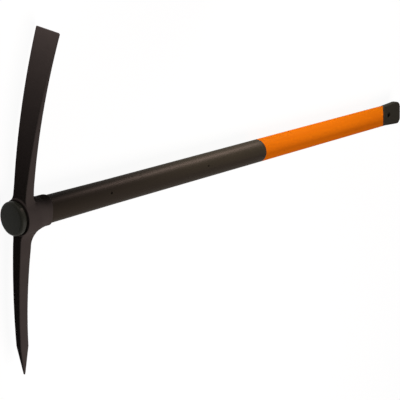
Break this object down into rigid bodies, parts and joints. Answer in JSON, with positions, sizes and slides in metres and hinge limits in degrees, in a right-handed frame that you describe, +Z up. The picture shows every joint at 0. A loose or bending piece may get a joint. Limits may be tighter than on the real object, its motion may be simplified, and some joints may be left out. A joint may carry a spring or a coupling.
{
  "type": "pick axe",
  "caption": "Pick axe with a curved forged head, a flat adze blade and a tapered point, on a straight composite handle with an orange grip sleeve and a flat butt with a hanging hole.",
  "frame": {"origin": "centre of the eye cap's front face, on the handle's axis", "axes": "+X along the handle from the eye cap to the butt, +Y along the adze, +Z up: the tool lies on its side"},
  "size_m": [0.94, 0.494, 0.05],
  "materials": {
    "coated_forging": "dark satin coating on a forging",
    "cured_resin": "cured amber resin, hidden in the eye",
    "cap_plastic": "moulded, matt black",
    "glass_fibre": "pultruded glass fibre, hidden in the handle",
    "jacket_plastic": "moulded, satin black",
    "grip_plastic": "moulded, satin orange"
  },
  "bodies": {
    "root": {"pick_head": "coated_forging", "eye_bond": "cured_resin", "eye_cap": "cap_plastic", "handle_core": "glass_fibre", "handle_jacket": "jacket_plastic", "grip_sleeve": "grip_plastic", "end_cap": "cap_plastic"}
  },
  "joints": []
}
